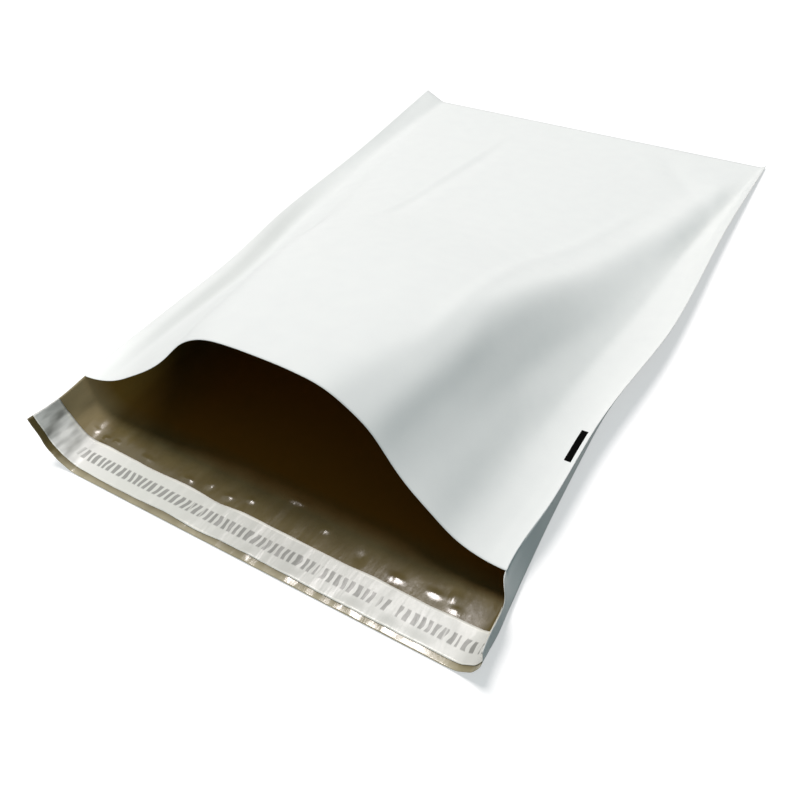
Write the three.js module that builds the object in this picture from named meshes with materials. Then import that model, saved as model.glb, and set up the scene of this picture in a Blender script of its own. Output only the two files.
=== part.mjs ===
// A white courier mailer of polyethylene film, empty, lying on its back panel with its mouth open.
// Millimetres, +Z up. X runs across the bag and Y from the flap to the closed end.
// The origin is the middle of the flat film outline, on the surface that the bag lies on.

import * as THREE from 'three';

// Sizes of the flat bag
const bagWidth = 250;
const pocketLength = 360;
const flapLength = 35;
const filmThickness = 0.065;
const weldWidth = 1;

// Air between the two panels where they lie on each other
const panelAir = 0.2;

// Closure strip on the inside of the flap
const linerWidth = 16;
const linerMargin = 3;
const linerThickness = 0.06;
const adhesiveInset = 2;
const adhesiveThickness = 0.06;
const stripClearance = 0.05;

// Black registration mark on the front panel, beside the right weld
const markWidth = 3;
const markLength = 19;
const markToWeld = 1.8;
const markToMouth = 57;
const inkThickness = 0.05;
const inkClearance = 0.05;

// Stations along the bag: -1 is the flap's outer edge, 0 the mouth and 1 the closed end.
// At each one: how much film is turned up at the side and its bend radius, both in millimetres,
// and how steeply the film stands, in degrees.
const leftCurl = {
  station: [-1, -0.45, 0, 0.15, 0.32, 0.51, 0.74, 1],
  film: [37.3, 30.9, 28.7, 26.3, 21.9, 18.6, 13.1, 16.5],
  radius: [19.5, 16.7, 12.1, 8, 8, 8, 8, 8],
  angle: [73, 80, 72, 79, 85, 48, 42, 28],
};
const rightCurl = {
  station: [-1, -0.45, 0, 0.1, 0.24, 0.46, 0.74, 1],
  film: [27.8, 22.3, 19.3, 21.4, 21.8, 21.7, 15.5, 3.7],
  radius: [14.5, 8.1, 3.4, 4, 4, 4, 4, 4],
  angle: [112, 97, 111, 90, 80, 46, 47, 48],
};

// Slope of the front panel's edge across the mouth, in degrees, at shares of the width
const mouthSlope = {
  share: [0, 0.064, 0.128, 0.2, 0.296, 0.36, 0.416, 0.584, 0.648, 0.76, 0.824, 0.888, 0.944, 1],
  angle: [-3, 21, 34, 37, 50, 28, 6, -8, -37, -47, -41, -38, -22, 9],
};

// Toe and shoulder of the left slope, then shoulder and toe of the right one, as shares of the
// width. The creases run straight from their places at the mouth to those at the closed end.
const creasesAtMouth = [0, 0.032, 0.384, 0.6, 0.94, 1];
const creasesAtFold = [0, 0.008, 0.024, 0.97, 0.985, 1];

// Numbers of grid cells
const flatCells = 15;
const leftCells = 9;
const rightCells = 11;
const pocketCells = 17;

// Share by which the rows of cells crowd towards the mouth, where the film bends most
const mouthCrowding = 0.45;

// Least distances between two grid lines
const leastColumn = 0.5;
const leastRow = 4;

const totalLength = flapLength + pocketLength;
const frontLift = 2 * filmThickness + panelAir;
const radians = THREE.MathUtils.degToRad;

// Place along the film, counted from the flap's outer edge, of a station
function stationPlace(station) {
  return station < 0 ? flapLength * (1 + station) : flapLength + pocketLength * station;
}

// Cubic curve through stations; its slope at each one is that of the chord between the neighbours
function curveThrough(places, values, at) {
  const last = places.length - 1;
  const slope = (i) => {
    const a = Math.max(i - 1, 0);
    const b = Math.min(i + 1, last);
    return (values[b] - values[a]) / (places[b] - places[a]);
  };
  let i = 0;
  while (i < last - 1 && at > places[i + 1]) i += 1;
  const span = places[i + 1] - places[i];
  const t = THREE.MathUtils.clamp((at - places[i]) / span, 0, 1);
  const s = 1 - t;
  return (1 + 2 * t) * s * s * values[i] + t * s * s * span * slope(i)
    + t * t * (3 - 2 * t) * values[i + 1] - t * t * s * span * slope(i + 1);
}

// Curled side of the back panel at a place along the film: its length, bend radius and angle
function curlAt(curl, place) {
  const places = curl.station.map(stationPlace);
  return {
    film: curveThrough(places, curl.film, place),
    radius: curveThrough(places, curl.radius, place),
    angle: radians(curveThrough(places, curl.angle, place)),
  };
}

// Film that turns up along an arc and then runs straight: how far out and up it gets
function turnUp(film, { angle, radius }) {
  const turned = Math.min(film / radius, angle);
  const straight = Math.max(film - angle * radius, 0);
  return {
    out: radius * Math.sin(turned) + straight * Math.cos(angle),
    up: radius * (1 - Math.cos(turned)) + straight * Math.sin(angle),
    turned,
  };
}

// Cross-section of the back panel: flat on the surface, turned up at both sides
function backSection(place, across) {
  const left = curlAt(leftCurl, place);
  const right = curlAt(rightCurl, place);
  const half = bagWidth / 2;
  return across.map((u) => {
    const x = u - half;
    const pastRight = x - (half - right.film);
    const pastLeft = -x - (half - left.film);
    if (pastRight > 0) {
      const end = turnUp(pastRight, right);
      return { x: half - right.film + end.out, z: end.up, slope: end.turned };
    }
    if (pastLeft > 0) {
      const end = turnUp(pastLeft, left);
      return { x: -(half - left.film) - end.out, z: end.up, slope: -end.turned };
    }
    return { x, z: 0, slope: 0 };
  });
}

// Width that a section with these slopes loses against the flat film
function widthLost(slopes, across) {
  let lost = 0;
  for (let j = 1; j < across.length; j += 1) {
    const mean = (Math.cos(slopes[j]) + Math.cos(slopes[j - 1])) / 2;
    lost += (1 - mean) * (across[j] - across[j - 1]);
  }
  return lost;
}

// Cross-section of the front panel: the mouth's slopes, squeezed between the creases and eased
// until the film spans from weld to weld, and falling in with the back panel at the closed end
function frontSection(place, across) {
  const back = backSection(place, across);
  const t = (place - flapLength) / pocketLength;
  const creases = creasesAtMouth.map((c, i) => c + (creasesAtFold[i] - c) * t);
  const slopes = across.map((u) => {
    const share = u / bagWidth;
    let i = 0;
    while (i < creases.length - 2 && share > creases[i + 1]) i += 1;
    const part = (share - creases[i]) / (creases[i + 1] - creases[i]);
    const atMouth = creasesAtMouth[i] + part * (creasesAtMouth[i + 1] - creasesAtMouth[i]);
    return radians(curveThrough(mouthSlope.share, mouthSlope.angle, atMouth));
  });
  const follow = t * t * (3 - 2 * t);
  const last = across.length - 1;
  const spare = Math.max(bagWidth - (back[last].x - back[0].x), 0);
  const ease = Math.sqrt(spare * (1 - follow * follow) / widthLost(slopes, across));
  const tilt = slopes.map((s, j) => ease * s + follow * back[j].slope);
  const section = [{ x: back[0].x, z: back[0].z }];
  for (let j = 1; j <= last; j += 1) {
    const angle = (tilt[j] + tilt[j - 1]) / 2;
    const step = across[j] - across[j - 1];
    const before = section[j - 1];
    section.push({ x: before.x + step * Math.cos(angle), z: before.z + step * Math.sin(angle) });
  }
  const missX = back[last].x - section[last].x;
  const missZ = back[last].z - section[last].z;
  return section.map((p, j) => {
    const share = across[j] / bagWidth;
    return { x: p.x + missX * share, z: p.z + missZ * share };
  });
}

// Sections set one behind the other, so that the film keeps its length from the closed end on
function layAlong(sections, places) {
  const rows = sections.map((section) => section.map((p) => new THREE.Vector3(p.x, 0, p.z)));
  const last = rows.length - 1;
  rows[last].forEach((p) => p.setY(totalLength / 2));
  for (let i = last - 1; i >= 0; i -= 1) {
    const film = places[i + 1] - places[i];
    rows[i].forEach((p, j) => {
      const next = rows[i + 1][j];
      const side = Math.hypot(next.x - p.x, next.z - p.z);
      p.setY(next.y - Math.sqrt(Math.max(film * film - side * side, 0)));
    });
  }
  return rows;
}

// Unit normals of a grid of points, on the side that faces up where the grid lies flat
function gridNormals(rows) {
  return rows.map((row, i) => row.map((p, j) => {
    const along = rows[Math.min(i + 1, rows.length - 1)][j].clone().sub(rows[Math.max(i - 1, 0)][j]);
    const across = row[Math.min(j + 1, row.length - 1)].clone().sub(row[Math.max(j - 1, 0)]);
    return across.cross(along).normalize();
  }));
}

// The same grid moved along its normals
function offsetGrid(rows, normals, distance) {
  return rows.map((row, i) => row.map((p, j) => p.clone().addScaledVector(normals[i][j], distance)));
}

// Collects points and four-sided faces of one closed body
class Skin {
  constructor() {
    this.points = [];
    this.triangles = [];
  }

  addPoint(p) {
    this.points.push(p.x, p.y, p.z);
    return this.points.length / 3 - 1;
  }

  addGrid(rows) {
    return rows.map((row) => row.map((p) => this.addPoint(p)));
  }

  addFace(a, b, c, d) {
    this.triangles.push(a, b, c, a, c, d);
  }

  // Faces of a grid of point numbers, facing up, or down where faceUp is false
  addSheet(ids, faceUp) {
    for (let i = 1; i < ids.length; i += 1) {
      for (let j = 1; j < ids[i].length; j += 1) {
        const [near, far] = [ids[i - 1], ids[i]];
        if (faceUp) this.addFace(near[j - 1], near[j], far[j], far[j - 1]);
        else this.addFace(near[j - 1], far[j - 1], far[j], near[j]);
      }
    }
  }

  // Narrow faces between two lines of point numbers, the lower line running to the right
  addRim(lower, upper) {
    for (let j = 1; j < lower.length; j += 1) {
      this.addFace(lower[j - 1], lower[j], upper[j], upper[j - 1]);
    }
  }

  geometry() {
    const geometry = new THREE.BufferGeometry();
    geometry.setAttribute('position', new THREE.Float32BufferAttribute(this.points, 3));
    geometry.setIndex(this.triangles);
    geometry.computeVertexNormals();
    return geometry;
  }
}

// Left and right ends of the rows of a grid, as lines
const leftEnd = (ids) => ids.map((row) => row[0]);
const rightEnd = (ids) => ids.map((row) => row[row.length - 1]);

// Closed strip between two grids of the same size, the upper one above the lower one
function stripGeometry(lowerRows, upperRows) {
  const skin = new Skin();
  const lower = skin.addGrid(lowerRows);
  const upper = skin.addGrid(upperRows);
  const last = lower.length - 1;
  skin.addSheet(lower, false);
  skin.addSheet(upper, true);
  skin.addRim(lower[0], upper[0]);
  skin.addRim([...lower[last]].reverse(), [...upper[last]].reverse());
  skin.addRim(leftEnd(lower).reverse(), leftEnd(upper).reverse());
  skin.addRim(rightEnd(lower), rightEnd(upper));
  return skin.geometry();
}

// Evenly spaced values from one end to the other, both included
function evenSteps(from, to, cells) {
  return Array.from({ length: cells + 1 }, (_, i) => from + (to - from) * i / cells);
}

// Values in rising order, without those that lie closer than this to the one before
function sortedValues(values, closest) {
  const sorted = [...values].sort((a, b) => a - b);
  return sorted.filter((v, i) => i === 0 || v - sorted[i - 1] > closest);
}

const adhesiveStart = linerMargin + adhesiveInset;
const adhesiveEnd = linerMargin + linerWidth - adhesiveInset;
const markStart = flapLength + markToMouth;
const markEnd = markStart + markLength;
const markRight = bagWidth - markToWeld;
const markLeft = markRight - markWidth;

// Grid lines across the film
const leftZone = Math.max(...leftCurl.film);
const rightZone = bagWidth - Math.max(...rightCurl.film);
const columns = [
  0,
  ...sortedValues([
    ...evenSteps(weldWidth, leftZone, leftCells),
    ...evenSteps(leftZone, rightZone, flatCells),
    ...evenSteps(rightZone, markLeft, rightCells),
    markRight,
    bagWidth - weldWidth,
  ], leastColumn),
  bagWidth,
];

// Grid lines along the film
const linerEnd = linerMargin + linerWidth;
const besideMark = (v) => Math.min(Math.abs(v - markStart), Math.abs(v - markEnd)) < leastRow;
const pocketPlaces = evenSteps(0, 1, pocketCells)
  .map((t) => (1 - mouthCrowding) * t + mouthCrowding * t * t)
  .map((share) => flapLength + (pocketLength - weldWidth) * share);
const places = sortedValues([
  0,
  linerMargin,
  ...evenSteps(adhesiveStart, adhesiveEnd, 2),
  ...evenSteps(linerEnd, flapLength, 3),
  ...pocketPlaces.filter((v) => !besideMark(v)),
  markStart,
  markEnd,
  totalLength,
], 0);
const mouthRow = places.indexOf(flapLength);
const pocketRows = places.slice(mouthRow);

const backRows = layAlong(places.map((v) => backSection(v, columns)), places);
const backNormals = gridNormals(backRows);
const frontRows = layAlong(pocketRows.map((v) => frontSection(v, columns)), pocketRows);
const frontNormals = gridNormals(frontRows);

// Point halfway from the outer edge of a weld or fold to the middle of the hollow beside it
function innerEdge(edge, backPoint, frontPoint) {
  const middle = backPoint.clone().add(frontPoint).multiplyScalar(0.5);
  return edge.clone().lerp(middle, 0.5);
}

// The bag: back panel with its flap, front panel, closed end and welds, as one closed skin
function filmGeometry() {
  const inside = offsetGrid(backRows, backNormals, filmThickness);
  const frontOutside = offsetGrid(frontRows, frontNormals, frontLift);
  const frontInside = offsetGrid(frontRows, frontNormals, frontLift - filmThickness);
  const lastRow = places.length - 1;
  const lastColumn = columns.length - 1;
  const beside = (k, last) => THREE.MathUtils.clamp(k, 1, last - 1);
  const atEdge = (i, j) => i === lastRow || j === 0 || j === lastColumn;

  for (let i = mouthRow; i <= lastRow; i += 1) {
    for (let j = 0; j <= lastColumn; j += 1) {
      if (!atEdge(i, j)) continue;
      const row = Math.min(i, lastRow - 1);
      const column = beside(j, lastColumn);
      const hollowFront = frontInside[row - mouthRow][column];
      inside[i][j] = innerEdge(backRows[i][j], inside[row][column], hollowFront);
    }
  }

  const skin = new Skin();
  const backOuter = skin.addGrid(backRows);
  const backInner = skin.addGrid(inside);
  const frontIds = (grid, shared) => grid.map((row, i) => row.map((p, j) => (
    atEdge(i + mouthRow, j) ? shared[i + mouthRow][j] : skin.addPoint(p))));
  const frontOuter = frontIds(frontOutside, backOuter);
  const frontInner = frontIds(frontInside, backInner);
  skin.addSheet(backOuter, false);
  skin.addSheet(backInner, true);
  skin.addSheet(frontOuter, true);
  skin.addSheet(frontInner, false);

  const flapOuter = backOuter.slice(0, mouthRow + 1);
  const flapInner = backInner.slice(0, mouthRow + 1);
  skin.addRim(flapOuter[0], flapInner[0]);
  skin.addRim(leftEnd(flapOuter).reverse(), leftEnd(flapInner).reverse());
  skin.addRim(rightEnd(flapOuter), rightEnd(flapInner));
  skin.addRim(frontInner[0], frontOuter[0]);
  return skin.geometry();
}

// Strip laid on the inside of the flap between two places, at a height above the film
function flapStripGeometry(from, to, height, thickness) {
  const pick = (grid) => grid.filter((_, i) => places[i] >= from && places[i] <= to);
  const rows = pick(backRows);
  const normals = pick(backNormals);
  const base = filmThickness + height;
  return stripGeometry(
    offsetGrid(rows, normals, base),
    offsetGrid(rows, normals, base + thickness),
  );
}

// Printed mark on the outside of the front panel
function markGeometry() {
  const pick = (grid) => grid
    .filter((_, i) => pocketRows[i] >= markStart && pocketRows[i] <= markEnd)
    .map((row) => row.filter((_, j) => columns[j] >= markLeft - 0.01 && columns[j] <= markRight + 0.01));
  const base = frontLift + inkClearance;
  return stripGeometry(
    offsetGrid(pick(frontRows), pick(frontNormals), base),
    offsetGrid(pick(frontRows), pick(frontNormals), base + inkThickness),
  );
}

function namedMesh(name, geometry, color, roughness) {
  const mesh = new THREE.Mesh(geometry, new THREE.MeshStandardMaterial({ color, roughness, metalness: 0 }));
  mesh.name = name;
  return mesh;
}

const linerHeight = stripClearance + adhesiveThickness + stripClearance;

const group = new THREE.Group();
group.add(
  namedMesh('film_bag', filmGeometry(), '#eff1ee', 0.35),
  namedMesh(
    'adhesive_strip',
    flapStripGeometry(adhesiveStart, adhesiveEnd, stripClearance, adhesiveThickness),
    '#b9ab86',
    0.3,
  ),
  namedMesh(
    'release_liner',
    flapStripGeometry(linerMargin, linerEnd, linerHeight, linerThickness),
    '#d3d3c9',
    0.25,
  ),
  namedMesh('eye_mark', markGeometry(), '#222222', 0.4),
);

export default group;
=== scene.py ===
"""A white polyethylene courier mailer that lies on its back panel with its mouth propped open.

The film is worked out as surfaces over film coordinates, in millimetres: u runs across the bag from
the left weld, and v runs along it from the outer edge of the flap. The meshes are in metres, and so
is the UV map that holds the film coordinates for the materials.
"""

import bpy
import numpy as np
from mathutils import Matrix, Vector


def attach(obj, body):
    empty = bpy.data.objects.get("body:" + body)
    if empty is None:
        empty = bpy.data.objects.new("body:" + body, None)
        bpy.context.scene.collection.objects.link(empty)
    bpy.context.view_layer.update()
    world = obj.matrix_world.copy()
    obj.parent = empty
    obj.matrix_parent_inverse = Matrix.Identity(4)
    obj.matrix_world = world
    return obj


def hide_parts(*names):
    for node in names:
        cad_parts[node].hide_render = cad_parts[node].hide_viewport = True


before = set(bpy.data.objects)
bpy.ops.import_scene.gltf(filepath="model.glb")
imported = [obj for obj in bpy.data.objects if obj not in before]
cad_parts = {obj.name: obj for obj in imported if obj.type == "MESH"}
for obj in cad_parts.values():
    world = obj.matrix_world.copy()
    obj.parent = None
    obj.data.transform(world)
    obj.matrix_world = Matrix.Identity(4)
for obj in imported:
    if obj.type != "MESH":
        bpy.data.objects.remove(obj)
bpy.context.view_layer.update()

MM = 0.001

# Flat sizes of the bag, and the thickness of its film
WIDTH, POCKET, FLAP = 250.0, 360.0, 35.0
LENGTH = FLAP + POCKET
FILM = 0.065

# Air between the two panels at a weld and away from it, and the distances between which it grows
WELD_AIR, PANEL_AIR = 0.01, 0.2
AIR_GROWS = (0.5, 6)

# Closure strip across the inside of the flap: where a layer starts and ends along the film, its
# height above the film, its thickness, and how far its long edges wander
GLUE = {"ends": (5.0, 17.0), "height": 0.02, "thickness": 0.06, "wander": 0}
LINER = {"ends": (3.0, 19.0), "height": 0.1, "thickness": 0.06, "wander": 0.5}

# Registration mark beside the right weld, and the heights of its lower and upper side above the film
MARK_U, MARK_V = (245.2, 248.2), (92.0, 111.0)
MARK_HEIGHTS = (0.005, 0.03)

# Curled sides at places along the film: length turned up, bend radius and angle in degrees
LEFT_CURL = {
    "at": [0, 19.25, 35, 89, 150.2, 218.6, 301.4, 395],
    "film": [37.3, 30.9, 28.7, 26.3, 21.9, 18.6, 13.1, 16.5],
    "radius": [19.5, 16.7, 12.1, 8, 8, 8, 8, 8],
    "angle": [73, 80, 72, 79, 85, 48, 42, 28],
}
RIGHT_CURL = {
    "at": [0, 19.25, 35, 71, 121.4, 200.6, 301.4, 395],
    "film": [27.8, 22.3, 19.3, 21.4, 21.8, 21.7, 15.5, 3.7],
    "radius": [14.5, 8.1, 3.4, 4, 4, 4, 4, 4],
    "angle": [112, 97, 111, 90, 80, 46, 47, 48],
}

# Slope of the mouth's edge in degrees at shares of the width, and the creases at mouth and fold
MOUTH_SHARE = [0, 0.064, 0.128, 0.2, 0.296, 0.36, 0.416, 0.584, 0.648, 0.76, 0.824, 0.888, 0.944, 1]
MOUTH_ANGLE = [-3, 21, 34, 37, 50, 28, 6, -8, -37, -47, -41, -38, -22, 9]
MOUTH_CREASES = [0, 0.032, 0.384, 0.6, 0.94, 1]
FOLD_CREASES = [0, 0.008, 0.024, 0.97, 0.985, 1]

# Soft folds of the front panel: start u, v, end u, v, half width, height
FRONT_FOLDS = [
    (15, 80, 11, 215, 4, -0.5),
    (75, 195, 83.5, 355, 2, 0.45),
    (80, 200, 89, 345, 5, -0.8),
    (86, 180, 73, 268, 6, -0.4),
    (172, 80, 222, 300, 10, 1.0),
    (206, 80, 243, 290, 13, -1.1),
    (167, 80, 170, 180, 4, 0.6),
    (170, 180, 200, 295, 4, 0.5),
    (174, 24, 182, 110, 10, 1.8),
    (228, 24, 224, 110, 12, -1.4),
    (218, 258, 233, 362, 11, 3.6),
    (238, 280, 243, 350, 7, -1.2),
    (185, 385, 238, 308, 7, -1.0),
    (40, 395, 118, 380, 7, 0.5),
]

# Shares of a fold's length between which it rises at its start and sinks at its end
FOLD_RISES, FOLD_SINKS = (-0.15, 0.25), (1.15, 0.75)

# Distances from the welds and the closed end at which the folds are at full height, and the belly of
# the front panel is, with the height of that belly
FOLDS_FROM, BELLY_FROM, BELLY = 9, 14, 0.4

# Small puckers of the flap film: u, v, half width across and along, height. The first 15 lie between
# the liner and the mouth, 3 are at the left bend of the outer edge, and the rest are along that edge
PUCKERS = [
    (23.5, 24, 1.2, 1.0, 0.3),
    (31.5, 22.5, 1.3, 1.0, 0.5),
    (38, 23, 1.1, 1.0, 0.4),
    (58, 22, 2.6, 1.6, 0.4),
    (83, 22, 2.0, 1.3, 0.5),
    (94, 24.5, 1.6, 2.2, 0.4),
    (105, 23, 1.6, 1.4, 0.5),
    (115, 26, 1.6, 1.4, 0.5),
    (133.5, 35, 3.6, 1.4, 0.45),
    (152, 28.5, 1.4, 1.6, 0.4),
    (172, 24, 2.4, 3.0, -0.3),
    (189.5, 23, 2.4, 1.5, 0.42),
    (206, 24, 2.6, 1.4, 0.3),
    (213.5, 26, 1.6, 2.8, 0.38),
    (216, 21.5, 1.8, 1.4, 0.35),
    (21, 1.6, 1.3, 1.4, 0.3),
    (25.5, 1.8, 1.2, 1.4, 0.35),
    (30, 1.6, 1.4, 1.4, 0.3),
    (97, 3.4, 2.6, 2.8, 0.4),
    (129, 3.4, 2.8, 2.8, 0.38),
    (151, 3.4, 4.5, 2.8, 0.38),
    (180, 3.4, 5.5, 2.8, 0.38),
    (196, 3.4, 4, 2.8, 0.38),
    (209, 3.4, 4.5, 2.8, 0.38),
]

# Loose film of the flap: its height off the surface, the places along the film between which it
# comes loose, and the height of the curls from which buckles are at full height
LOOSE_HEIGHT, COMES_LOOSE, BUCKLES_FROM = 0.3, (60, 25), 4

# Random unevenness: height, size across and along the film, and seed. The height of a strip's own
# comes from how far its edges wander, so it isn't given here
FRONT_SWELLS = (0.35, 38, 55, 1)
FRONT_RIPPLES = (0.06, 11, 16, 2)
FLAP_CRINKLES = (0.16, 3.5, 15, 3)
CURL_BUCKLES = (0.25, 14, 18, 4)
STRIP_NEAR_EDGE = (17, 50, 7)
STRIP_FAR_EDGE = (13, 50, 8)
STRIP_WAVES = (7, 16, 9)

# Waves of a strip off the film, as a share of how far its edges wander
WAVE_SHARE = 0.2

# Grid lines of the pieces: stretches with start, end and step. A strip's rows are shares of its width
BACK_ACROSS = [(0, WIDTH, 1.2)]
BACK_ALONG = [(0, 40, 0.6), (40, 100, 1.5), (100, LENGTH, 4)]
FRONT_ACROSS = [(0, 8, 0.5), (8, WIDTH - 8, 1.3), (WIDTH - 8, WIDTH, 0.5)]
FRONT_ALONG = [(FLAP, 40, 1), (40, LENGTH, 2)]
STRIP_ACROSS = [(0, WIDTH, 0.8)]
STRIP_ALONG = [(0, 1, 0.05)]
MARK_ACROSS = [(*MARK_U, 0.5)]
MARK_ALONG = [(*MARK_V, 1)]

# Floor: half its side, and how far it lies below the bag, so that the two don't flicker
FLOOR_HALF, FLOOR_BELOW = 700, 0.2

# Camera: azimuth, elevation and roll in degrees, its place, and its lens from the photograph's fit
CAMERA_ANGLES = (32.973, 46.193, -4.215)
CAMERA_PLACE = (155.51, -303.16, 264.99)
FOCAL_PIXELS, PHOTO_PIXELS, SENSOR, NEAREST = 763.83, 800, 36.0, 10

# Sockets of a Mix node that take its two colours, and the one that gives the mixed colour
FIRST, SECOND, MIXED = 6, 7, 2


def curve_through(places, values, at):
    """Cubic through (place, value) pairs; the slope at each is the chord between its neighbours."""
    p, f = np.asarray(places, float), np.asarray(values, float)
    slope = np.empty_like(f)
    slope[1:-1] = (f[2:] - f[:-2]) / (p[2:] - p[:-2])
    slope[0], slope[-1] = (f[1] - f[0]) / (p[1] - p[0]), (f[-1] - f[-2]) / (p[-1] - p[-2])
    i = np.clip(np.searchsorted(p, at, side="right") - 1, 0, len(p) - 2)
    span = p[i + 1] - p[i]
    t = np.clip((at - p[i]) / span, 0, 1)
    s = 1 - t
    ends = (1 + 2 * t) * s * s * f[i] + t * t * (3 - 2 * t) * f[i + 1]
    return ends + t * s * span * (s * slope[i] - t * slope[i + 1])


def ramp(low, high, at):
    """Smooth step from 0 at low to 1 at high: 3t^2 - 2t^3."""
    t = np.clip((at - low) / (high - low), 0, 1)
    return t * t * (3 - 2 * t)


def turned_up(curl, film, v):
    """Film past the start of a curl: an arc of the curl's radius, then straight at its angle.

    Gives how far out and up each point gets, and the slope there."""
    radius = curve_through(curl["at"], curl["radius"], v)
    angle = np.radians(curve_through(curl["at"], curl["angle"], v))
    turned = np.clip(film / radius, 0, angle)
    straight = np.maximum(film - angle * radius, 0)
    out = radius * np.sin(turned) + straight * np.cos(angle)
    up = radius * (1 - np.cos(turned)) + straight * np.sin(angle)
    return out, up, turned


def back_section(u, v):
    """Back panel: flat at z = 0 between the curls, which start their film's length from each side."""
    left = curve_through(LEFT_CURL["at"], LEFT_CURL["film"], v)
    right = curve_through(RIGHT_CURL["at"], RIGHT_CURL["film"], v)
    left_out, left_up, left_slope = turned_up(LEFT_CURL, np.maximum(left - u, 0), v)
    right_out, right_up, right_slope = turned_up(RIGHT_CURL, np.maximum(u - WIDTH + right, 0), v)
    flat = np.clip(u, left, WIDTH - right) - WIDTH / 2
    return flat - left_out + right_out, left_up + right_up, right_slope - left_slope


def front_section(u, v):
    """Front panel: the mouth's slopes, moved with the creases and eased until the film spans from
    weld to weld: ease = sqrt(spare width (1 - follow^2) / width lost by the slopes)."""
    back_x, back_z, back_slope = back_section(u, v)
    t = (v - FLAP) / POCKET
    drift = np.subtract(FOLD_CREASES, MOUTH_CREASES)
    across = u[0] / WIDTH
    share = np.stack([np.interp(across, MOUTH_CREASES + drift * k, MOUTH_CREASES) for k in t[:, 0]])
    slope = np.radians(curve_through(MOUTH_SHARE, MOUTH_ANGLE, share))
    follow = ramp(0, 1, t)
    step = np.diff(u, axis=1)
    cosine = np.cos(slope)
    lost = ((1 - (cosine[:, 1:] + cosine[:, :-1]) / 2) * step).sum(1, keepdims=True)
    spare = np.maximum(WIDTH - (back_x[:, -1:] - back_x[:, :1]), 0)
    tilt = np.sqrt(spare * (1 - follow**2) / lost) * slope + follow * back_slope
    mean = (tilt[:, 1:] + tilt[:, :-1]) / 2
    x = back_x[:, :1] + np.pad(np.cumsum(np.cos(mean) * step, axis=1), ((0, 0), (1, 0)))
    z = back_z[:, :1] + np.pad(np.cumsum(np.sin(mean) * step, axis=1), ((0, 0), (1, 0)))
    return x + (back_x - x)[:, -1:] * u / WIDTH, z + (back_z - z)[:, -1:] * u / WIDTH


def lay_along(x, z, v):
    """Points whose rows keep the film's length, dy^2 = dv^2 - dx^2 - dz^2, from the closed end on."""
    dy2 = np.diff(v, axis=0) ** 2 - np.diff(x, axis=0) ** 2 - np.diff(z, axis=0) ** 2
    dy = np.sqrt(np.maximum(dy2, 0))
    y = LENGTH / 2 - np.pad(np.cumsum(dy[::-1], axis=0)[::-1], ((0, 1), (0, 0)))
    return np.stack([x, y, z], axis=-1)


def normals(points):
    """Unit normals of a grid, on the side that faces up where the grid lies flat."""
    cross = np.cross(np.gradient(points, axis=1), np.gradient(points, axis=0))
    return cross / np.linalg.norm(cross, axis=-1, keepdims=True)


def raised(points, up, height):
    """Points of a grid moved along their normals by one height, or by a height for each."""
    return points + up * np.broadcast_to(height, points.shape[:2])[..., None]


def stepped(stretches):
    """Places along a line, from stretches (start, end, step) that follow each other."""
    parts = [np.linspace(a, b, max(round((b - a) / s), 1), endpoint=False) for a, b, s in stretches]
    return np.concatenate([*parts, [stretches[-1][1]]])


def uneven(u, v, height, size_u, size_v, seed):
    """Smooth random height, at most this much up or down: seeded values on a lattice, joined by
    smooth steps."""
    lattice = (int(LENGTH / size_v) + 3, int(WIDTH / size_u) + 3)
    values = np.random.default_rng(seed).uniform(-1, 1, lattice)
    i, j = np.floor(v / size_v).astype(int), np.floor(u / size_u).astype(int)
    s, t = ramp(0, 1, v / size_v - i), ramp(0, 1, u / size_u - j)
    near = values[i, j] * (1 - t) + values[i, j + 1] * t
    far = values[i + 1, j] * (1 - t) + values[i + 1, j + 1] * t
    return height * (near * (1 - s) + far * s)


def folds(u, v):
    """Sum of folds: height exp(-(distance / half width)^2), fading out at both ends of each line."""
    total = np.zeros_like(u)
    for u0, v0, u1, v1, half, height in FRONT_FOLDS:
        length = np.hypot(u1 - u0, v1 - v0)
        share = ((u - u0) * (u1 - u0) + (v - v0) * (v1 - v0)) / length**2
        aside = ((u - u0) * (v1 - v0) - (v - v0) * (u1 - u0)) / length
        fade = ramp(*FOLD_RISES, share) * ramp(*FOLD_SINKS, share)
        total += height * np.exp(-((aside / half) ** 2)) * fade
    return total


def puckers(u, v):
    """Sum of small bumps: height exp(-(du / half)^2 - (dv / half)^2)."""
    return sum(
        height * np.exp(-(((u - u0) / half_u) ** 2) - ((v - v0) / half_v) ** 2)
        for u0, v0, half_u, half_v, height in PUCKERS
    )


def at_film(points, us, vs, u, v):
    """Points of a grid at film coordinates between its lines, blended from the four corners."""
    j = np.clip(np.searchsorted(us, u, side="right") - 1, 0, len(us) - 2)
    i = np.clip(np.searchsorted(vs, v, side="right") - 1, 0, len(vs) - 2)
    t = ((u - us[j]) / (us[j + 1] - us[j]))[..., None]
    s = ((v - vs[i]) / (vs[i + 1] - vs[i]))[..., None]
    near = points[i, j] * (1 - t) + points[i, j + 1] * t
    far = points[i + 1, j] * (1 - t) + points[i + 1, j + 1] * t
    return near * (1 - s) + far * s


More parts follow.
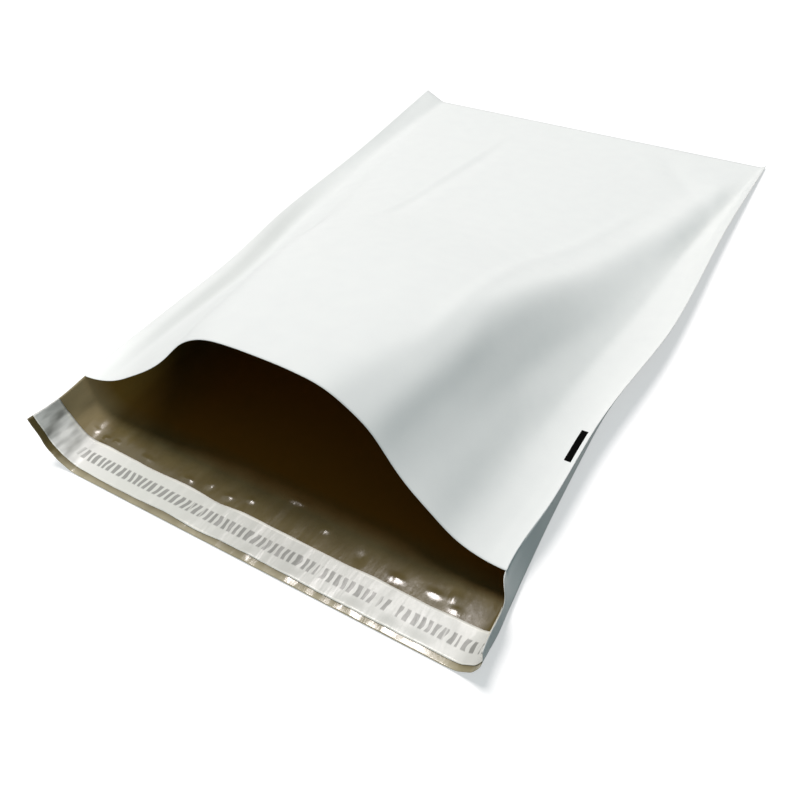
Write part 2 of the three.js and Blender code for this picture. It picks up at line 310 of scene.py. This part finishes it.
def shell(name, upper, lower, u, v, materials):
    """Closed mesh between two grids: upper faces up, lower faces down, and a rim joins their edges.

    The materials are those of the upper side, the lower side and the rim, or one for all. The UV map
    holds the film coordinates in metres."""
    rows, columns = u.shape
    count = rows * columns
    ids = np.arange(count).reshape(rows, columns)
    a, b, c, d = ids[:-1, :-1], ids[:-1, 1:], ids[1:, 1:], ids[1:, :-1]
    top = np.stack([a, b, c, d], -1).reshape(-1, 4)
    bottom = np.stack([a, d, c, b], -1).reshape(-1, 4) + count
    edge = np.concatenate([ids[0], ids[1:, -1], ids[-1, -2::-1], ids[-2::-1, 0]])
    rim = np.stack([edge[:-1] + count, edge[1:] + count, edge[1:], edge[:-1]], -1)
    faces = np.concatenate([top, bottom, rim])
    points = np.concatenate([upper.reshape(-1, 3), lower.reshape(-1, 3)]) * MM
    mesh = bpy.data.meshes.new(name)
    mesh.from_pydata(points.tolist(), [], faces.tolist())
    side = np.repeat([0, 1, 2], [len(top), len(bottom), len(rim)])
    for material in materials:
        mesh.materials.append(material)
    slots = np.minimum(side, len(materials) - 1).astype(np.int32)
    mesh.polygons.foreach_set("material_index", slots)
    mesh.polygons.foreach_set("use_smooth", side < 2)
    place = np.stack([u, v], -1).reshape(-1, 2) * MM
    corners = np.concatenate([place, place])[faces.ravel()]
    mesh.uv_layers.new(name="film").data.foreach_set("uv", corners.astype(np.float32).ravel())
    mesh.update()
    piece = bpy.data.objects.new(name, mesh)
    bpy.context.scene.collection.objects.link(piece)
    return piece


def linear(code):
    """sRGB hex to linear RGBA."""
    c = np.array([int(code[i : i + 2], 16) for i in (1, 3, 5)]) / 255
    return (*np.where(c <= 0.04045, c / 12.92, ((c + 0.055) / 1.055) ** 2.4), 1.0)


def per(size):
    """Scale of a pattern whose features have this size in millimetres, on a map in metres."""
    return 1 / (size * MM)


def node(tree, kind, inputs=None, **settings):
    """Adds a node with its settings; inputs are values, or links given as (node, output)."""
    made = tree.nodes.new(kind)
    for key, value in settings.items():
        setattr(made, key, value)
    for key, value in (inputs or {}).items():
        if isinstance(value, tuple) and isinstance(value[0], bpy.types.Node):
            tree.links.new(value[0].outputs[value[1]], made.inputs[key])
        else:
            made.inputs[key].default_value = value
    return made


def finish_of(name, colour, roughness, specular=0.5):
    """Material with one Principled surface; gives the material, its node tree and its shader."""
    material = bpy.data.materials.new(name)
    material.use_nodes = True
    shader = material.node_tree.nodes["Principled BSDF"]
    shader.inputs["Base Color"].default_value = linear(colour)
    shader.inputs["Roughness"].default_value = roughness
    shader.inputs["Specular IOR Level"].default_value = specular
    return material, material.node_tree, shader


def link(tree, source, output, target, socket):
    """Joins two nodes."""
    tree.links.new(source.outputs[output], target.inputs[socket])


def white_polyethylene():
    """Film outside: blown and corona treated, so satin with a faint mint-grey cast.

    It is greyed with painted shade along a crease beside the left weld. The painted shade fades smoothly
    with the distance from the crease's line, which leans across the film, and with the distance along it
    from its middle."""
    material, tree, shader = finish_of("white_polyethylene_film", "#eeefec", 0.5, specular=0.03)
    crease_start, crease_lean, crease_middle = 13.5 * MM, 0.035, 145 * MM
    film = node(tree, "ShaderNodeUVMap", uv_map="film")
    place = node(tree, "ShaderNodeSeparateXYZ", {0: (film, "UV")})
    mottle = node(tree, "ShaderNodeTexNoise", {"Vector": (film, "UV"), "Scale": per(9), "Detail": 4})
    tint = node(
        tree, "ShaderNodeMix",
        {"Factor": (mottle, 0), FIRST: linear("#ebecea"), SECOND: linear("#f0f1ee")},
        data_type="RGBA",
    )
    leaning = node(
        tree, "ShaderNodeMath", {0: (place, "Y"), 1: crease_lean, 2: (place, "X")},
        operation="MULTIPLY_ADD",
    )
    aside = node(tree, "ShaderNodeMath", {0: (leaning, 0), 1: crease_start}, operation="SUBTRACT")
    off_line = node(tree, "ShaderNodeMath", {0: (aside, 0)}, operation="ABSOLUTE")
    on_crease = node(
        tree, "ShaderNodeMapRange", {"Value": (off_line, 0), "From Min": 8 * MM, "From Max": 1 * MM},
        interpolation_type="SMOOTHSTEP",
    )
    beyond = node(tree, "ShaderNodeMath", {0: (place, "Y"), 1: crease_middle}, operation="SUBTRACT")
    off_middle = node(tree, "ShaderNodeMath", {0: (beyond, 0)}, operation="ABSOLUTE")
    in_reach = node(
        tree, "ShaderNodeMapRange",
        {"Value": (off_middle, 0), "From Min": 130 * MM, "From Max": 30 * MM, "To Max": 0.75},
        interpolation_type="SMOOTHSTEP",
    )
    # Painted shade along the crease beside the left weld, fading away from its line and from its middle
    crease_painted_shade = node(tree, "ShaderNodeMath", {0: (on_crease, 0), 1: (in_reach, 0)}, operation="MULTIPLY")
    crease_shaded = node(
        tree, "ShaderNodeMix", {"Factor": (crease_painted_shade, 0), FIRST: (tint, MIXED), SECOND: linear("#d3d5d2")},
        data_type="RGBA",
    )
    link(tree, crease_shaded, MIXED, shader, "Base Color")
    drawn = node(tree, "ShaderNodeMapping", {"Vector": (film, "UV"), "Scale": (1, 0.12, 1)})
    draw_lines = node(tree, "ShaderNodeTexNoise", {"Vector": (drawn, 0), "Scale": per(3), "Detail": 3})
    skin = node(tree, "ShaderNodeTexNoise", {"Vector": (film, "UV"), "Scale": per(1.1), "Detail": 2})
    relief = node(tree, "ShaderNodeMath", {0: (draw_lines, 0), 1: (skin, 0)}, operation="ADD")
    bump = node(
        tree, "ShaderNodeBump", {"Height": (relief, 0), "Distance": 0.03 * MM, "Strength": 0.8}
    )
    link(tree, bump, 0, shader, "Normal")
    return material


def taupe_polyethylene():
    """Film inside: the same sheet's dark layer, untreated and glossy.

    It is painted a warmer brown of shade in the pocket, and less so at the left of it, painted paler with
    light where the left of the flap turns up past the liner, and rougher and painted paler with sheen
    along the flap's outer edge."""
    gloss, haze = 0.19, 0.2
    material, tree, shader = finish_of("taupe_inner_film", "#5c4a2a", gloss)
    film = node(tree, "ShaderNodeUVMap", uv_map="film")
    place = node(tree, "ShaderNodeSeparateXYZ", {0: (film, "UV")})
    mottle = node(tree, "ShaderNodeTexNoise", {"Vector": (film, "UV"), "Scale": per(12), "Detail": 4})
    tint = node(
        tree, "ShaderNodeMix",
        {"Factor": (mottle, 0), FIRST: linear("#4b4023"), SECOND: linear("#6f6443")},
        data_type="RGBA",
    )
    # Painted light: the film is painted paler where the left of the flap turns up past the liner
    turned_part = node(
        tree, "ShaderNodeMapRange", {"Value": (place, "X"), "From Min": 30 * MM, "From Max": 18 * MM}
    )
    past_liner = node(
        tree, "ShaderNodeMapRange", {"Value": (place, "Y"), "From Min": 12 * MM, "From Max": 18 * MM}
    )
    turned_up_painted_light = node(
        tree, "ShaderNodeMath", {0: (turned_part, 0), 1: (past_liner, 0)}, operation="MULTIPLY"
    )
    flap_tint = node(
        tree, "ShaderNodeMix", {"Factor": (turned_up_painted_light, 0), FIRST: (tint, MIXED), SECOND: linear("#857859")},
        data_type="RGBA",
    )
    # Painted shade: from the mouth's shadow inward the pocket is painted a warmer brown, less so at its
    # left
    by_left = node(
        tree, "ShaderNodeMapRange", {"Value": (place, "X"), "From Min": 60 * MM, "From Max": 20 * MM}
    )
    pocket_shade_tint = node(
        tree, "ShaderNodeMix",
        {"Factor": (by_left, 0), FIRST: linear("#86551b"), SECOND: linear("#6a5526")},
        data_type="RGBA",
    )
    in_pocket = node(
        tree, "ShaderNodeMapRange", {"Value": (place, "Y"), "From Min": 32 * MM, "From Max": 45 * MM}
    )
    both = node(
        tree, "ShaderNodeMix",
        {"Factor": (in_pocket, 0), FIRST: (flap_tint, MIXED), SECOND: (pocket_shade_tint, MIXED)},
        data_type="RGBA",
    )
    # Painted sheen: along the flap's outer edge, past the left bend, the film is painted paler; its
    # roughness rises there too
    near_edge = node(
        tree, "ShaderNodeMapRange", {"Value": (place, "Y"), "From Min": 4.5 * MM, "From Max": 1 * MM}
    )
    past_bend = node(
        tree, "ShaderNodeMapRange", {"Value": (place, "X"), "From Min": 18 * MM, "From Max": 32 * MM}
    )
    haze_and_painted_sheen = node(tree, "ShaderNodeMath", {0: (near_edge, 0), 1: (past_bend, 0)}, operation="MULTIPLY")
    edge_sheen_tint = node(
        tree, "ShaderNodeMix",
        {"Factor": (mottle, 0), FIRST: linear("#756c4e"), SECOND: linear("#beb598")},
        data_type="RGBA",
    )
    whole = node(
        tree, "ShaderNodeMix",
        {"Factor": (haze_and_painted_sheen, 0), FIRST: (both, MIXED), SECOND: (edge_sheen_tint, MIXED)},
        data_type="RGBA",
    )
    link(tree, whole, MIXED, shader, "Base Color")
    rough = node(tree, "ShaderNodeMapRange", {"Value": (haze_and_painted_sheen, 0), "To Min": gloss, "To Max": haze})
    link(tree, rough, 0, shader, "Roughness")
    crossed = node(tree, "ShaderNodeMapping", {"Vector": (film, "UV"), "Scale": (1, 0.3, 1)})
    crinkle = node(tree, "ShaderNodeTexNoise", {"Vector": (crossed, 0), "Scale": per(2.5), "Detail": 3})
    bump = node(
        tree, "ShaderNodeBump", {"Height": (crinkle, 0), "Distance": 0.15 * MM, "Strength": 0.8}
    )
    link(tree, bump, 0, shader, "Normal")
    return material


def mottled(name, colour, roughness, size, tints, specular=0.5):
    """Plain finish whose colour wanders between two tints, in patches of a size in millimetres."""
    material, tree, shader = finish_of(name, colour, roughness, specular)
    film = node(tree, "ShaderNodeUVMap", uv_map="film")
    mottle = node(tree, "ShaderNodeTexNoise", {"Vector": (film, "UV"), "Scale": per(size), "Detail": 2})
    first, second = map(linear, tints)
    tint = node(
        tree, "ShaderNodeMix", {"Factor": (mottle, 0), FIRST: first, SECOND: second}, data_type="RGBA"
    )
    link(tree, tint, MIXED, shader, "Base Color")
    return material


def bar_ink(tree, film, place, off_row):
    """How inked the liner is: leaning bars in groups, in a row, to the right of where it turns up.

    A wave texture has ten waves in pi units of its scaled map, which gives its scale."""
    bar_pitch, group_size = 3.1416, 6
    leaning = node(tree, "ShaderNodeMapping", {"Vector": (film, "UV"), "Rotation": (0, 0, 0.08)})
    waves = node(
        tree, "ShaderNodeTexWave",
        {
            "Vector": (leaning, 0), "Scale": np.pi / 10 * per(bar_pitch),
            "Distortion": 4, "Detail": 1, "Detail Scale": 1.2,
        },
    )
    groups = node(
        tree, "ShaderNodeTexNoise", {"Vector": (place, "X"), "Scale": per(group_size), "Detail": 1}
    )
    ink = node(tree, "ShaderNodeMapRange", {"Value": (waves, 1), "From Min": 0.28, "From Max": 0.5})
    for value, none, full in (
        ((groups, 0), 0.34, 0.4),
        ((off_row, 0), 2.9 * MM, 2.3 * MM),
        ((place, "X"), 26 * MM, 29 * MM),
    ):
        limit = node(tree, "ShaderNodeMapRange", {"Value": value, "From Min": none, "From Max": full})
        ink = node(tree, "ShaderNodeMath", {0: (ink, 0), 1: (limit, 0)}, operation="MULTIPLY")
    return ink


def silicone_liner():
    """Release liner: milky silicone-coated film, glossy and rippled along its length.

    Its colour carries painted sheen along its length, brightest where it starts to turn up at the left,
    painted shade in clouds on the turned-up part and painted highlights at its cut edges, and it has a row
    of generic grey bars along its middle."""
    material, tree, shader = finish_of("silicone_release_liner", "#c8c8c0", 0.28)
    row = 10.8 * MM
    painted_sheen_stops = ((0.09, "#e2e2de"), (0.13, "#dddcd7"), (0.24, "#dedfd7"), (0.55, "#cbcbc4"), (0.9, "#d9d9d3"))
    film = node(tree, "ShaderNodeUVMap", uv_map="film")
    place = node(tree, "ShaderNodeSeparateXYZ", {0: (film, "UV")})
    # Painted sheen: the liner's brightness changes in stops along its length, brightest where it starts to
    # turn up
    share = node(tree, "ShaderNodeMath", {0: (place, "X"), 1: per(WIDTH)}, operation="MULTIPLY")
    shade = node(tree, "ShaderNodeValToRGB", {0: (share, 0)})
    for spot, code in painted_sheen_stops:
        shade.color_ramp.elements.new(spot).color = linear(code)
    shade.color_ramp.elements.remove(shade.color_ramp.elements[0])
    shade.color_ramp.elements.remove(shade.color_ramp.elements[-1])

    aside = node(tree, "ShaderNodeMath", {0: (place, "Y"), 1: row}, operation="SUBTRACT")
    off_row = node(tree, "ShaderNodeMath", {0: (aside, 0)}, operation="ABSOLUTE")
    ink = bar_ink(tree, film, place, off_row)
    faint = node(tree, "ShaderNodeMath", {0: (ink, 0), 1: 0.75}, operation="MULTIPLY")
    printed = node(
        tree, "ShaderNodeMix", {"Factor": (faint, 0), FIRST: (shade, 0), SECOND: linear("#6f6f6a")},
        data_type="RGBA",
    )

    # Painted highlight along the liner's cut edges
    at_side = node(
        tree, "ShaderNodeMapRange", {"Value": (off_row, 0), "From Min": 6.8 * MM, "From Max": 7.4 * MM}
    )
    edge_highlighted = node(
        tree, "ShaderNodeMix",
        {"Factor": (at_side, 0), FIRST: (printed, MIXED), SECOND: linear("#e6e5dc")},
        data_type="RGBA",
    )
    # Painted shade in clouds on the turned-up part of the liner
    stretched = node(tree, "ShaderNodeMapping", {"Vector": (film, "UV"), "Scale": (1, 0.35, 1)})
    clouds = node(tree, "ShaderNodeTexNoise", {"Vector": (stretched, 0), "Scale": per(7), "Detail": 2})
    patches = node(tree, "ShaderNodeMapRange", {"Value": (clouds, 0), "From Min": 0.4, "From Max": 0.62})
    turned_part = node(
        tree, "ShaderNodeMapRange", {"Value": (place, "X"), "From Min": 34 * MM, "From Max": 22 * MM}
    )
    painted_shade_clouds = node(
        tree, "ShaderNodeMath", {0: (patches, 0), 1: (turned_part, 0)}, operation="MULTIPLY"
    )
    whole = node(
        tree, "ShaderNodeMix",
        {"Factor": (painted_shade_clouds, 0), FIRST: (edge_highlighted, MIXED), SECOND: linear("#94948f")},
        data_type="RGBA",
    )
    link(tree, whole, MIXED, shader, "Base Color")
    drawn = node(tree, "ShaderNodeMapping", {"Vector": (film, "UV"), "Scale": (1, 0.2, 1)})
    ripple = node(tree, "ShaderNodeTexNoise", {"Vector": (drawn, 0), "Scale": per(2.5), "Detail": 3})
    bump = node(tree, "ShaderNodeBump", {"Height": (ripple, 0), "Distance": 0.3 * MM, "Strength": 0.7})
    link(tree, bump, 0, shader, "Normal")
    return material


white_film = white_polyethylene()
taupe_film = taupe_polyethylene()

# Cut edge of the film, where the white layer shows
cut_edge = mottled("cut_film_edge", "#e4e0d0", 0.4, 4, ("#d8d3c0", "#efece0"))

liner_film = silicone_liner()

# Hot-melt glue: amber and tacky, unevenly laid, so its colour wanders
hot_melt = mottled("hot_melt_adhesive", "#b9ab86", 0.3, 3, ("#ae9f78", "#c3b692"))

# Flexo ink: nearly black and matt, with the pinholes of a printed solid
black_ink = mottled("black_flexo_ink", "#121212", 0.7, 0.4, ("#050505", "#141413"), specular=0.0)

# Back panel with its flap
back_u, back_v = stepped(BACK_ACROSS), stepped(BACK_ALONG)
u, v = np.meshgrid(back_u, back_v)
x, z, _ = back_section(u, v)
back = lay_along(x, z, v)
crinkled = uneven(u, v, *FLAP_CRINKLES) + uneven(u, v, *CURL_BUCKLES) * ramp(0, BUCKLES_FROM, z)
loose = (LOOSE_HEIGHT + crinkled) * ramp(*COMES_LOOSE, v) + puckers(u, v)
back = raised(back, normals(back), loose)
back[..., 2] = np.maximum(back[..., 2], 0)
back_up = normals(back)
back_films = [taupe_film, white_film, cut_edge]
back_panel = shell("back_panel_and_flap", raised(back, back_up, FILM), back, u, v, back_films)

# Front panel, which meets the back panel at the welds and the closed end
front_u, front_v = stepped(FRONT_ACROSS), stepped(FRONT_ALONG)
u, v = np.meshgrid(front_u, front_v)
x, z = front_section(u, v)
front = lay_along(x, z, v)
to_edge = np.minimum(np.minimum(u, WIDTH - u), LENGTH - v)
soft = folds(u, v) + uneven(u, v, *FRONT_SWELLS) + uneven(u, v, *FRONT_RIPPLES)
bulge = soft * ramp(0, FOLDS_FROM, to_edge) + BELLY * ramp(0, BELLY_FROM, to_edge)
front = raised(front, normals(front), bulge)
front_up = normals(front)
lift = FILM + WELD_AIR + PANEL_AIR * ramp(*AIR_GROWS, to_edge)
front_outside = raised(front, front_up, lift + FILM)
front_films = [white_film, taupe_film, cut_edge]
front_panel = shell("front_panel", front_outside, raised(front, front_up, lift), u, v, front_films)


def flap_strip(name, strip, material):
    """Layer over the full width of the flap, at its height above the film, with wandering edges."""
    u, share = np.meshgrid(stepped(STRIP_ACROSS), stepped(STRIP_ALONG))
    start, end = strip["ends"]
    wander = strip["wander"]
    near = uneven(u, 0 * u, wander, *STRIP_NEAR_EDGE)
    far = uneven(u, 0 * u, wander, *STRIP_FAR_EDGE)
    v = start + near + share * (end - start + far)
    under = at_film(back, back_u, back_v, u, v)
    up = at_film(back_up, back_u, back_v, u, v)
    waves = wander * WAVE_SHARE * (1 + uneven(u, v, 1, *STRIP_WAVES))
    rise = FILM + strip["height"] + waves
    outside = raised(under, up, rise + strip["thickness"])
    return shell(name, outside, raised(under, up, rise), u, v, [material])


glue = flap_strip("adhesive_band", GLUE, hot_melt)
liner = flap_strip("release_liner_strip", LINER, liner_film)

# Registration mark, printed on the front panel
u, v = np.meshgrid(stepped(MARK_ACROSS), stepped(MARK_ALONG))
printed = at_film(front_outside, front_u, front_v, u, v)
lower, upper = (raised(printed, normals(printed), height) for height in MARK_HEIGHTS)
mark = shell("registration_mark", upper, lower, u, v, [black_ink])

for piece, slot, replaced in (
    (back_panel, "film", "film_bag"),
    (front_panel, "film", "film_bag"),
    (glue, "adhesive", "adhesive_strip"),
    (liner, "liner", "release_liner"),
    (mark, "ink", "eye_mark"),
):
    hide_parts(replaced)
    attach(piece, "root")


def seen_factor(tree):
    """1 for rays from the camera, a reflection or a transmission, and 0 for light that bounces."""
    path = node(tree, "ShaderNodeLightPath")
    shown = (path, "Is Camera Ray")
    for ray in ("Is Glossy Ray", "Is Transmission Ray"):
        shown = (node(tree, "ShaderNodeMath", {0: shown, 1: (path, ray)}, operation="MAXIMUM"), 0)
    return shown


# Plain floor: white to the eye, and a mid grey for the light that it throws back
half, below = FLOOR_HALF * MM, FLOOR_BELOW * MM
corners = [(-half, -half, -below), (half, -half, -below), (half, half, -below), (-half, half, -below)]
floor_mesh = bpy.data.meshes.new("floor")
floor_mesh.from_pydata(corners, [], [(0, 1, 2, 3)])
floor = bpy.data.objects.new("floor", floor_mesh)
bpy.context.scene.collection.objects.link(floor)
floor_paint, tree, shader = finish_of("matt_studio_floor", "#8a8a8a", 0.95)
floor_mesh.materials.append(floor_paint)
seen = seen_factor(tree)
shade = node(
    tree, "ShaderNodeMix", {"Factor": seen, FIRST: linear("#6a6a6a"), SECOND: linear("#c8c8c8")},
    data_type="RGBA",
)
link(tree, shade, MIXED, shader, "Base Color")
glow = node(tree, "ShaderNodeMath", {0: seen, 1: 0.52}, operation="MULTIPLY")
shader.inputs["Emission Color"].default_value = (1, 1, 1, 1)
link(tree, glow, 0, shader, "Emission Strength")

# Camera at the photograph's viewpoint: the axis that points back from the lens, then the other two
azimuth, elevation, roll = np.radians(CAMERA_ANGLES)
level = np.array([np.sin(azimuth), -np.cos(azimuth), 0.0])
back_axis = np.cos(elevation) * level + np.array([0.0, 0.0, np.sin(elevation)])
side_axis = np.array([np.cos(azimuth), np.sin(azimuth), 0.0])
up_axis = np.cross(back_axis, side_axis)
stand = np.eye(4)
stand[:3, 0] = np.cos(roll) * side_axis + np.sin(roll) * up_axis
stand[:3, 1] = np.cos(roll) * up_axis - np.sin(roll) * side_axis
stand[:3, 2] = back_axis
stand[:3, 3] = np.array(CAMERA_PLACE) * MM
camera = bpy.data.objects.new("camera", bpy.data.cameras.new("camera"))
bpy.context.scene.collection.objects.link(camera)
camera.matrix_world = stand.T.tolist()
camera.data.sensor_width = SENSOR
camera.data.lens = FOCAL_PIXELS / PHOTO_PIXELS * SENSOR
camera.data.clip_start = NEAREST * MM
bpy.context.scene.camera = camera

# Studio: white all round to the eye, and a weak cool fill for the light that bounces
world = bpy.data.worlds.new("studio")
world.use_nodes = True
bpy.context.scene.world = world
tree = world.node_tree
fill = tree.nodes["Background"]
fill.inputs["Color"].default_value = (0.7, 0.97, 1.03, 1)
fill.inputs["Strength"].default_value = 0.24
white = node(tree, "ShaderNodeBackground", {"Color": (1, 1, 1, 1), "Strength": 1.0})
both = node(tree, "ShaderNodeMixShader", {"Fac": seen_factor(tree), 1: (fill, 0), 2: (white, 0)})
link(tree, both, 0, tree.nodes["World Output"], "Surface")


def lamp(name, kind, place, aim, energy, colour, **settings):
    """Adds a lamp at a place that points at another."""
    light = bpy.data.lights.new(name, kind)
    light.energy = energy
    light.color = colour
    for key, value in settings.items():
        setattr(light, key, value)
    stand = bpy.data.objects.new(name, light)
    stand.location = place
    stand.rotation_euler = (Vector(aim) - Vector(place)).to_track_quat("-Z", "Y").to_euler()
    bpy.context.scene.collection.objects.link(stand)


# Main light high up, a little left and behind, and a narrow one for the left end of the flap
lamp(
    "soft_box", "AREA", (-0.62, 0.41, 2.91), (0, 0, 0), 78, (1.0, 0.94, 0.93),
    shape="DISK", size=0.9,
)
lamp(
    "flap_spot", "SPOT", (0.35, -0.75, 0.45), (-0.114, -0.18, 0.02), 12, (1.0, 1.0, 1.0),
    spot_size=0.12, spot_blend=1,
)
bpy.context.scene.view_settings.view_transform = "Standard"
